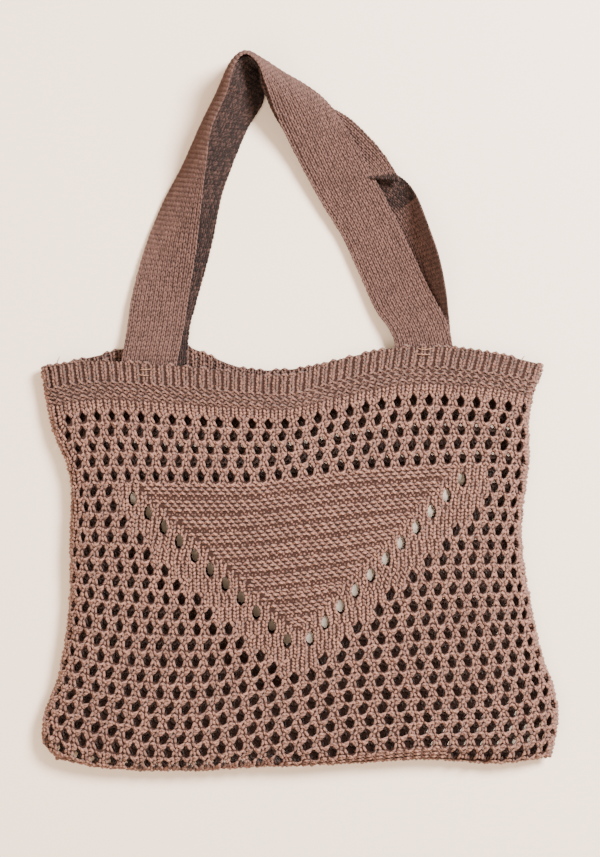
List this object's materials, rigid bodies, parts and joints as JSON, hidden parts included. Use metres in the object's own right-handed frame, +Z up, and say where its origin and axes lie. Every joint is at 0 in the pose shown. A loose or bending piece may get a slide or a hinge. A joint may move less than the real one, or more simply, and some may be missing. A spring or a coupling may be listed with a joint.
{
  "type": "knitted mesh tote bag",
  "caption": "Knitted openwork tote bag lying flat, with a plain triangle set into its net front, a firm mouth band and long flat shoulder handles.",
  "frame": {"origin": "on the surface the bag lies on, under the middle of its box", "axes": "+X to the bag's right, +Y from its bottom to its handles, +Z up from the surface, out of the front wall"},
  "size_m": [0.4094, 0.5676, 0.047],
  "materials": {
    "body_yarn": "matt cotton yarn, dusty brown",
    "strap_yarn": "matt cotton yarn, fine plain knit, dusty brown"
  },
  "bodies": {
    "root": {"front_panel": "body_yarn", "back_panel": "body_yarn", "front_handle": "strap_yarn", "back_handle": "strap_yarn"}
  },
  "joints": []
}
